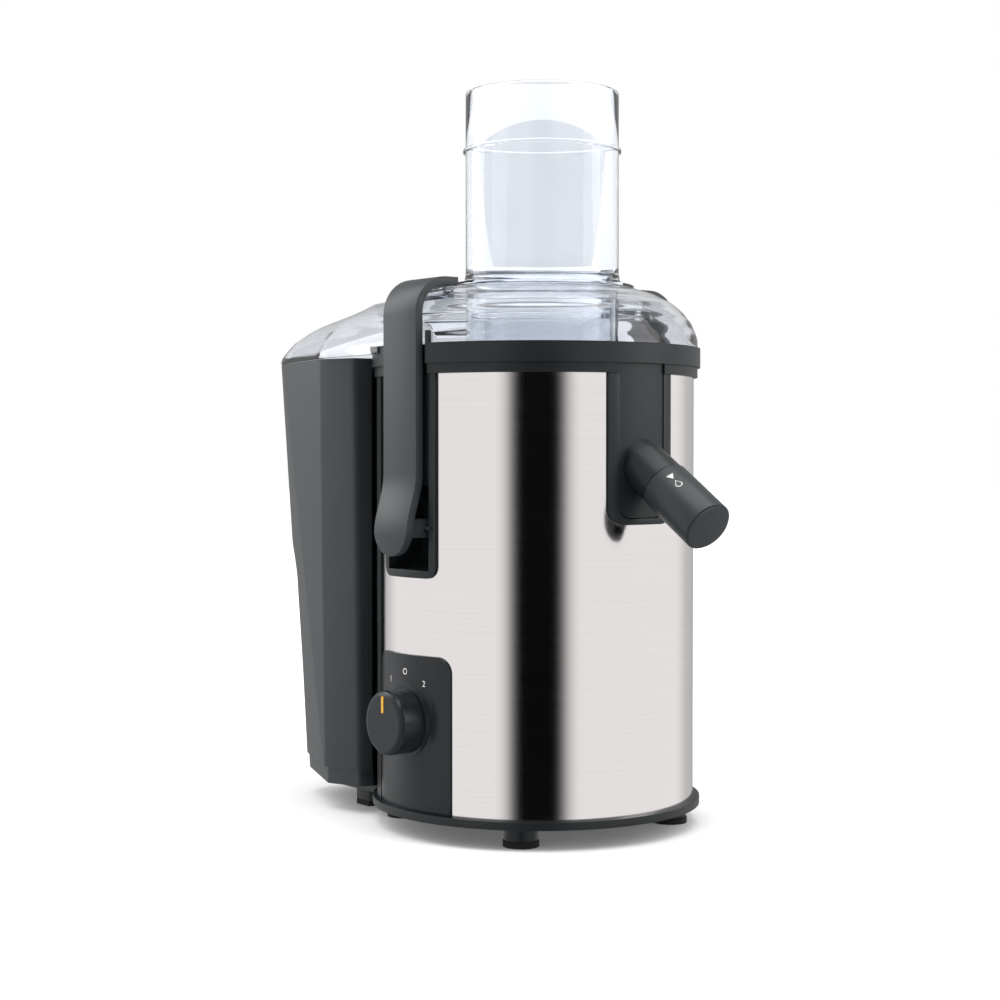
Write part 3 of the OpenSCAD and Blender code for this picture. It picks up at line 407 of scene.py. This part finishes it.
def pierced_steel(name):
    """Sheet steel with rows of fine round holes, dark where a hole is."""
    material = metal(name, (0.70, 0.70, 0.70), 0.25, lines=300.0, length=60.0)
    nodes, links = material.node_tree.nodes, material.node_tree.links
    shader = nodes["Principled BSDF"]
    coords = nodes.new("ShaderNodeTexCoord")
    holes = nodes.new("ShaderNodeTexVoronoi")
    holes.inputs["Scale"].default_value = 900.0
    holes.inputs["Randomness"].default_value = 0.0
    solid = nodes.new("ShaderNodeMath")
    solid.operation = "GREATER_THAN"
    solid.inputs[1].default_value = 0.30
    links.new(coords.outputs["Object"], holes.inputs["Vector"])
    links.new(holes.outputs["Distance"], solid.inputs[0])
    links.new(solid.outputs[0], shader.inputs["Alpha"])
    return material


MATERIALS = {
    "dark_plastic": plastic("dark_satin_plastic", (0.0105, 0.0135, 0.0155), 0.36, gloss=0.33),
    "arm_plastic": plastic("grey_satin_plastic", (0.026, 0.031, 0.034), 0.40, gloss=0.38),
    "container_plastic": plastic("container_plastic", (0.030, 0.036, 0.040), 0.38, gloss=0.5),
    "panel_gloss": plastic("black_panel_plastic", (0.012, 0.0145, 0.017), 0.24, grain=1800.0, bump=0.08),
    "inner_plastic": plastic("plain_black_plastic", (0.016, 0.016, 0.017), 0.5),
    "brushed_wrap": metal("brushed_wrap_steel", (0.885, 0.85, 0.842), 0.11, lines=1500.0, length=9.0,
                          depth=0.10, bump=0.10),
    "stainless": metal("bright_steel", (0.72, 0.72, 0.72), 0.22, lines=300.0, length=60.0),
    "screw_steel": metal("plated_steel", (0.62, 0.62, 0.62), 0.3, lines=500.0, length=500.0),
    "motor_iron": metal("lacquered_iron", (0.30, 0.30, 0.31), 0.42, lines=2500.0, length=3.0),
    "copper": metal("enamelled_copper", (0.62, 0.30, 0.16), 0.32, lines=1600.0, length=5.0),
    "soft_rubber": plastic("soft_rubber", (0.014, 0.014, 0.014), 0.7, grain=1400.0, bump=0.4, gloss=0.2),
    "carbon": plastic("pressed_carbon", (0.02, 0.02, 0.02), 0.6, grain=900.0, bump=0.5),
    "board": plastic("green_laminate", (0.04, 0.20, 0.08), 0.35, grain=600.0, bump=0.2),
    "pointer_gold": plastic("gold_print", (0.75, 0.40, 0.04), 0.35, grain=1500.0, bump=0.1),
    "clear_plastic": plastic("clear_plastic", (0.90, 0.925, 0.965), 0.03, grain=300.0, bump=0.02, gloss=0.5,
                             Transmission_Weight=1.0, IOR=1.40),
    "mark_white": plastic("white_print", (0.80, 0.80, 0.80), 0.5, grain=1500.0, bump=0.1),
    "pierced_steel": pierced_steel("pierced_steel"),
}
NODE_FINISH = {"filter_mesh": "pierced_steel"}


def dress_cad_nodes():
    """Every CAD node gets the material of its slot, or a finish of its own."""
    for entry in frame["record"]["subparts"]:
        node = frame["nodes"][entry["node"]]
        finish = NODE_FINISH.get(entry["node"], entry["material_slot"])
        node.data.materials.clear()
        node.data.materials.append(MATERIALS[finish])


# ---------------------------------------------------------------- modelling helpers

def deselect_all():
    bpy.ops.object.select_all(action="DESELECT")


def make_active(piece):
    deselect_all()
    bpy.context.view_layer.objects.active = piece
    piece.select_set(True)


def smooth(piece, degrees=32):
    """Smooth shading that keeps every edge sharper than the angle."""
    make_active(piece)
    bpy.ops.object.shade_smooth_by_angle(angle=math.radians(degrees))


def finish_piece(piece, name, body, material, replaced=()):
    """Names a finished piece, settles its place into its mesh, and rides it on a body."""
    make_active(piece)
    bpy.ops.object.transform_apply(location=True, rotation=True, scale=True)
    piece.name = name
    piece.data.name = name
    piece.data.materials.clear()
    piece.data.materials.append(MATERIALS[material])
    piece.select_set(False)
    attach(piece, body)
    if replaced:
        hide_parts(*replaced)
    return piece


def apply_modifier(piece, kind, **values):
    """Adds one modifier with its values and applies it."""
    make_active(piece)
    modifier = piece.modifiers.new(kind.lower(), kind)
    for label, value in values.items():
        setattr(modifier, label, value)
    bpy.ops.object.modifier_apply(modifier=modifier.name)


def cut_away(piece, tool):
    """Cuts a tool's solid out of a piece and removes the tool."""
    apply_modifier(piece, "BOOLEAN", object=tool, operation="DIFFERENCE", solver="EXACT")
    bpy.data.objects.remove(tool, do_unlink=True)


def box_tool(low, high):
    """A plain block between two corners, for cutting."""
    deselect_all()
    middle = (Vector(low) + Vector(high)) / 2
    bpy.ops.mesh.primitive_cube_add(size=1, location=middle)
    tool = bpy.context.active_object
    tool.scale = Vector(high) - Vector(low)
    bpy.ops.object.transform_apply(location=True, rotation=True, scale=True)
    return tool


def rod_tool(radius, middle, depth, segments=160):
    """A plain upright cylinder, for cutting."""
    deselect_all()
    bpy.ops.mesh.primitive_cylinder_add(vertices=segments, radius=radius, depth=depth, location=middle)
    return bpy.context.active_object


def turned(profile, centre, segments=128):
    """A closed ring turned about an upright axis: a circle extruded from point to point of its profile."""
    deselect_all()
    radius, height = profile[0]
    place = Vector((centre[0], centre[1], height))
    bpy.ops.mesh.primitive_circle_add(vertices=segments, radius=radius, location=place)
    ring = bpy.context.active_object
    bpy.ops.object.transform_apply(location=True, rotation=True, scale=True)
    bpy.ops.object.mode_set(mode="EDIT")
    bpy.ops.mesh.select_all(action="SELECT")
    for next_radius, next_height in profile[1:]:
        bpy.ops.mesh.extrude_edges_move()
        bpy.ops.transform.translate(value=(0, 0, next_height - height))
        growth = next_radius / radius
        middle = (centre[0], centre[1], next_height)
        bpy.ops.transform.resize(value=(growth, growth, 1), center_override=middle)
        radius, height = next_radius, next_height
    bpy.ops.mesh.select_all(action="DESELECT")
    bpy.ops.mesh.select_non_manifold()
    bpy.ops.mesh.bridge_edge_loops()
    bpy.ops.mesh.select_all(action="SELECT")
    bpy.ops.mesh.normals_make_consistent(inside=False)
    bpy.ops.object.mode_set(mode="OBJECT")
    return ring


def softened(node, name, body, width, smooth_angle=40):
    """A copy of a CAD node with its loose triangles joined, its edges rounded and its faces smooth."""
    source = frame["nodes"][node]
    piece = source.copy()
    piece.data = source.data.copy()
    bpy.context.scene.collection.objects.link(piece)
    piece.parent = None
    piece.matrix_world = source.matrix_world
    make_active(piece)
    bpy.ops.object.mode_set(mode="EDIT")
    bpy.ops.mesh.select_all(action="SELECT")
    bpy.ops.mesh.remove_doubles(threshold=0.00001)
    bpy.ops.mesh.dissolve_limited(angle_limit=math.radians(0.4))
    bpy.ops.object.mode_set(mode="OBJECT")
    apply_modifier(piece, "BEVEL", width=width, segments=3, limit_method="ANGLE",
                   angle_limit=math.radians(35), harden_normals=False, use_clamp_overlap=True)
    smooth(piece, smooth_angle)
    entry = next(e for e in frame["record"]["subparts"] if e["node"] == node)
    return finish_piece(piece, name, body, entry["material_slot"], (node,))


# ---------------------------------------------------------------- container's grip recess

def bin_outline(z):
    """The container's outer outline at a height, ignoring its grip recess."""
    lean = (BIN_TOP - z) / (BIN_TOP - BIN_LOW.z)
    points = []
    for side in (-1, 1):
        points += disc_points(BIN_LOW.x + BIN_CORNER + lean * BIN_LEAN,
                              side * (BIN_HALF - lean * BIN_NARROWING),
                              BIN_CORNER - lean * BIN_CORNER_LOSS)
        for ahead, aside in BIN_FRONT:
            points += disc_points(ahead * MM - BODY_R, side * (BODY_R - aside * MM - lean * BIN_TAPER),
                                  BIN_SMALL, 32)
    return [points[i] for i in convex_hull_2d(points)]


def depth_inside(outline, point):
    """How far a point lies inside an outline, measured to the nearest of its sides."""
    depths = []
    for first, second in zip(outline, outline[1:] + outline[:1]):
        side = second - first
        if side.length > 1e-9:
            depths.append((side.x * (point.y - first.y) - side.y * (point.x - first.x)) / side.length)
    return min(abs(depth) for depth in depths)


def paint_grip_recess_shade(bin_piece):
    """Gives the faces of the grip recess the dark rubber material as painted shade, where the recess lies in
    shadow.
    """
    lowest = BIN_LOW.z + 8 * MM
    foremost = -BODY_R - 15 * MM
    shallow, deep = 0.7 * MM, 2.1 * MM
    bin_piece.data.materials.append(MATERIALS["soft_rubber"])
    outlines = {}
    for face in bin_piece.data.polygons:
        centre = face.center
        if not (lowest < centre.z < GRIP_TOP) or centre.x > foremost:
            continue
        level = round(centre.z, 3)
        if level not in outlines:
            outlines[level] = bin_outline(level)
        depth = depth_inside(outlines[level], Vector((centre.x, centre.y)))
        if shallow < depth < deep:
            # painted shade: the recess wall's faces take the dark material
            face.material_index = 1


# ---------------------------------------------------------------- clear lid and feed tube

# Rows of (millimetres in from the body's radius, millimetres above the seat)
LID_DOME = [(2, 0), (2, 4.5), (0.6, 8.5), (-1.4, 13), (-5.4, 18.2), (-11.2, 23.2), (-20, 27.6), (-31, 31)]
# Rows of (millimetres in from the container's outline, millimetres above its rim)
LID_REAR = [(0, 0), (0.3, 2), (3.3, 6), (8, 11), (17, 16.8), (24, 20.2), (35, 24), (48, 28.5)]


def at_height(table, height):
    """The inset of a table of (inset, height) rows at any height, as a straight line between rows."""
    for (inset, low), (next_inset, high) in zip(table, table[1:]):
        if height <= high:
            share = max(0.0, (height - low) / (high - low))
            return inset + (next_inset - inset) * share
    return table[-1][0]


def disc_points(x, y, radius, count=72):
    turn = 2 * math.pi / count
    return [Vector((x + radius * math.cos(i * turn), y + radius * math.sin(i * turn))) for i in range(count)]


def lid_outline(z, inset):
    """The lid's outline at a height, drawn round discs at its dome, rear corners and front corners."""
    points = []
    overhang = 0.3
    forward, rounding, sideways = 0.95, 0.05, 0.5
    front_sideways, front_stretch = 0.8, 1.1
    corner_x = -BODY_R - 5 * MM
    corner_r, corner_wall = 5.3 * MM, 2.5 * MM
    rise = (z + inset - LID_SEAT) / MM
    if rise >= 0:
        points += disc_points(0, 0, BODY_R + at_height(LID_DOME, rise) * MM - inset, 144)
    else:
        points += disc_points(0, 0, BODY_R + 2 * MM - inset, 144)
    climb = max(0.0, (z + inset - BIN_TOP) / MM - 0.4)
    if climb <= LID_REAR[-1][1]:
        step = at_height(LID_REAR, climb)
        rear = LID_LOW.x + BIN_CORNER + (overhang + step * forward) * MM
        radius = BIN_CORNER + (overhang - step * rounding) * MM - inset
        for side in (-1, 1):
            points += disc_points(rear, side * (BIN_HALF - step * sideways * MM), radius)
    if climb <= LID_REAR[-1][1] * front_stretch:
        step = at_height(LID_REAR, climb / front_stretch)
        for side in (-1, 1):
            y = side * (BIN_FRONT_Y - step * front_sideways * MM)
            points += disc_points(corner_x, y, corner_r - min(inset, corner_wall), 48)
    return [points[i] for i in convex_hull_2d(points)]


def lid_reach(outline, centre, direction):
    """How far an outline reaches from its centre in one direction."""
    best = 0.0
    for first, second in zip(outline, outline[1:] + outline[:1]):
        edge = second - first
        cross = direction.x * edge.y - direction.y * edge.x
        if abs(cross) < 1e-12:
            continue
        to_edge = first - centre
        reach = (to_edge.x * edge.y - to_edge.y * edge.x) / cross
        share = (to_edge.x * direction.y - to_edge.y * direction.x) / cross
        if reach > 0 and -1e-9 <= share <= 1 + 1e-9:
            best = max(best, reach)
    return best


def lid_solid(name, inset, segments=220):
    """The lid's outer form, or with an inset the form of its hollow, as rings drawn in from a cylinder."""
    rows = 30
    below = 3 * MM if inset else 0
    low = BIN_TOP + LID_GAP - below
    top = CROWN - inset
    heights = [low + (top - low) * math.sin(math.pi / 2 * i / (rows - 1)) ** 0.9 for i in range(rows)]
    centre = Vector((-0.02, 0))
    deselect_all()
    bpy.ops.mesh.primitive_circle_add(vertices=segments, radius=0.1, location=(centre.x, 0, heights[0]))
    piece = bpy.context.active_object
    piece.name = name
    bpy.ops.object.transform_apply(location=True, rotation=True, scale=True)
    bpy.ops.object.mode_set(mode="EDIT")
    bpy.ops.mesh.select_all(action="SELECT")
    bpy.ops.mesh.edge_face_add()
    for low_z, high_z in zip(heights, heights[1:]):
        bpy.ops.mesh.extrude_region_move()
        bpy.ops.transform.translate(value=(0, 0, high_z - low_z))
    bpy.ops.object.mode_set(mode="OBJECT")
    outlines = {}
    for vertex in piece.data.vertices:
        row = min(range(rows), key=lambda i: abs(heights[i] - vertex.co.z))
        if row not in outlines:
            outlines[row] = lid_outline(max(heights[row], BIN_TOP), inset)
        direction = Vector((vertex.co.x, vertex.co.y)) - centre
        direction.normalize()
        reach = lid_reach(outlines[row], centre, direction)
        vertex.co = Vector((centre.x + direction.x * reach, direction.y * reach, heights[row]))
    return piece


def build_lid():
    """One clear moulding: dome, slope over the container, notches for the arms and a hole for the tube."""
    lid = lid_solid("lid_shell", 0.0)
    hollow = lid_solid("lid_hollow", LID_WALL)
    notch_half = 19.8 * MM
    notch_depth = BODY_R - 0.9 * MM
    outside = 0.12
    under, over = 0.2, 0.3
    for side in (-1, 1):
        inner = sorted((side * (notch_depth - LID_WALL), side * outside))
        cut_away(hollow, box_tool((-notch_half - LID_WALL, inner[0], under),
                                  (notch_half + LID_WALL, inner[1], over)))
    cut_away(lid, hollow)
    for side in (-1, 1):
        span = sorted((side * notch_depth, side * outside))
        cut_away(lid, box_tool((-notch_half, span[0], under), (notch_half, span[1], over)))
    cut_away(lid, rod_tool(COLLAR_R + 1 * MM, (0, 0, LID_SEAT + 0.1 * MM - 0.05), 0.1))
    cut_away(lid, rod_tool(TUBE_R + 0.1 * MM, (TUBE_X, 0, 0.3), 0.2))
    smooth(lid, 30)
    finish_piece(lid, "clear_lid", "root", "clear_plastic", ("lid",))


def build_catches():
    """The clear latch pads on the lid that the arms' hooks reach over."""
    half = 10.5 * MM
    inside, outside = 60.2 * MM, 67.2 * MM
    low, high = CROWN - 9.5 * MM, CROWN - 3.9 * MM
    for side, name in ((-1, "front_catch"), (1, "back_catch")):
        near, far = sorted((side * inside, side * outside))
        catch = box_tool((-half, near, low), (half, far, high))
        apply_modifier(catch, "BEVEL", width=0.8 * MM, segments=3)
        smooth(catch, 40)
        finish_piece(catch, name, "root", "clear_plastic")


def build_feed_tube():
    """The clear tube: rounded rim, stop ring and flared foot on the lid."""
    outer, inner = TUBE_R, TUBE_R - TUBE_WALL
    ring = TUBE_HIGH.z - RING_DROP
    rim = TUBE_HIGH.z
    profile = [
        (inner, TUBE_LOW.z), (outer, TUBE_LOW.z),
        (outer, CROWN + 0.2 * MM), (outer + 2.2 * MM, CROWN + 0.25 * MM),
        (outer + 1.3 * MM, CROWN + 1.6 * MM), (outer + 0.6 * MM, CROWN + 3.2 * MM),
        (outer + 0.2 * MM, CROWN + 5.2 * MM), (outer, CROWN + 7.5 * MM),
        (outer, ring - 2.0 * MM), (outer + 1.1 * MM, ring - 1.9 * MM), (outer + 1.3 * MM, ring - 1.6 * MM),
        (outer + 1.3 * MM, ring - 0.4 * MM), (outer + 1.1 * MM, ring - 0.1 * MM), (outer, ring),
        (outer, rim - 0.9 * MM), (outer - 0.25 * MM, rim - 0.3 * MM), (outer - 0.8 * MM, rim),
        (inner + 0.8 * MM, rim), (inner + 0.25 * MM, rim - 0.3 * MM), (inner, rim - 0.9 * MM)]
    tube = turned(profile, (TUBE_X, 0), 160)
    smooth(tube, 40)
    finish_piece(tube, "clear_feed_tube", "root", "clear_plastic", ("feed_tube",))


# ---------------------------------------------------------------- nozzle details

def on_spout(along, across, out):
    """A point in the spout's own frame: along its slope, across it, and outwards from its axis on top."""
    down = Vector((math.cos(SPOUT_SLOPE), 0, -math.sin(SPOUT_SLOPE)))
    up = Vector((math.sin(SPOUT_SLOPE), 0, math.cos(SPOUT_SLOPE)))
    return SPOUT_ROOT + down * along + Vector((0, 1, 0)) * across + up * out


def wrap_on_nozzle(mark, along, turn):
    """Bends a flat mark, drawn about its origin, on to the nozzle's round wall."""
    for vertex in mark.data.vertices:
        angle = turn + vertex.co.x / NOZZLE_R
        reach = NOZZLE_R + 0.00003 + vertex.co.z
        vertex.co = on_spout(along + vertex.co.y, reach * math.sin(angle), reach * math.cos(angle))


def build_nozzle_marks():
    """A triangle and a drop that show which way the nozzle is turned."""
    turn = math.radians(-35)
    deselect_all()
    bpy.ops.mesh.primitive_circle_add(vertices=3, radius=2.2 * MM, fill_type="NGON", location=(0, 0, 0))
    arrow = bpy.context.active_object
    bpy.ops.object.mode_set(mode="EDIT")
    bpy.ops.mesh.select_all(action="SELECT")
    bpy.ops.mesh.extrude_region_move(TRANSFORM_OT_translate={"value": (0, 0, 0.08 * MM)})
    bpy.ops.mesh.select_all(action="SELECT")
    bpy.ops.mesh.subdivide(number_cuts=2)
    bpy.ops.mesh.normals_make_consistent(inside=False)
    bpy.ops.object.mode_set(mode="OBJECT")
    wrap_on_nozzle(arrow, NOZZLE_START + 6.5 * MM, turn)
    finish_piece(arrow, "nozzle_arrow", "nozzle", "mark_white")
    deselect_all()
    bpy.ops.mesh.primitive_torus_add(major_radius=1.6 * MM, minor_radius=0.22 * MM, major_segments=28,
                                     minor_segments=6, location=(0, 0, 0))
    drop = bpy.context.active_object
    for vertex in drop.data.vertices:
        if vertex.co.y < 0:
            vertex.co.x *= 1 + vertex.co.y / (2.2 * MM)
            vertex.co.y *= 1.6
        vertex.co.z = max(0.0, vertex.co.z) * 0.3
    wrap_on_nozzle(drop, NOZZLE_START + 13 * MM, turn)
    smooth(drop, 40)
    finish_piece(drop, "nozzle_drop_mark", "nozzle", "mark_white")


# ---------------------------------------------------------------- dial marks

def add_dial_mark(character, name, across, up, height):
    """One printed character on the curved control panel, a hair proud of it."""
    deselect_all()
    bpy.ops.object.text_add(location=(0, 0, 0))
    mark = bpy.context.active_object
    mark.data.body = character
    mark.data.size = height / 0.7
    mark.data.extrude = 0.0001
    mark.data.align_x = "CENTER"
    mark.data.align_y = "CENTER"
    bpy.ops.object.convert(target="MESH")
    radius = BODY_R + PANEL_PROUD
    for vertex in mark.data.vertices:
        x = vertex.co.x + across
        z = vertex.co.y + up
        depth = math.sqrt(radius * radius - x * x) + vertex.co.z + 0.00002
        vertex.co = Vector((x, -depth, z))
    return finish_piece(mark, name, "root", "mark_white")


# ---------------------------------------------------------------- build

bpy.context.scene.view_settings.view_transform = "Standard"
place_camera()
build_world()
build_floor()
build_flag()
add_area_light("left_softbox", -60, 30, 1.6, 0.9, 1.3, 10)
add_area_light("right_softbox", 130, 25, 1.6, 0.9, 1.3, 7)
add_area_light("top_softbox", 52, 82, 1.5, 1.6, 1.6, 22)
dress_cad_nodes()

build_lid()
build_catches()
build_feed_tube()
build_nozzle_marks()
softened("front_arm", "front_locking_arm", "front_arm", 0.9 * MM)
softened("back_arm", "back_locking_arm", "back_arm", 0.9 * MM)
paint_grip_recess_shade(softened("pulp_container", "pulp_bin", "pulp_container", 0.6 * MM, smooth_angle=25))
softened("control_panel", "control_fascia", "root", 0.4 * MM)
softened("spout_frame", "spout_surround", "root", 0.35 * MM)
softened("front_arm_recess", "front_arm_surround", "root", 0.35 * MM)
softened("back_arm_recess", "back_arm_surround", "root", 0.35 * MM)
softened("drip_nozzle", "swivel_nozzle", "nozzle", 0.4 * MM)
softened("base", "base_plate", "root", 0.4 * MM)

add_dial_mark("O", "mark_off", -1 * MM, KNOB_Z + 24.5 * MM, 3.2 * MM)
add_dial_mark("1", "mark_speed_one", -15 * MM, KNOB_Z + 19.5 * MM, 3.0 * MM)
add_dial_mark("2", "mark_speed_two", 13.5 * MM, KNOB_Z + 19.5 * MM, 3.0 * MM)
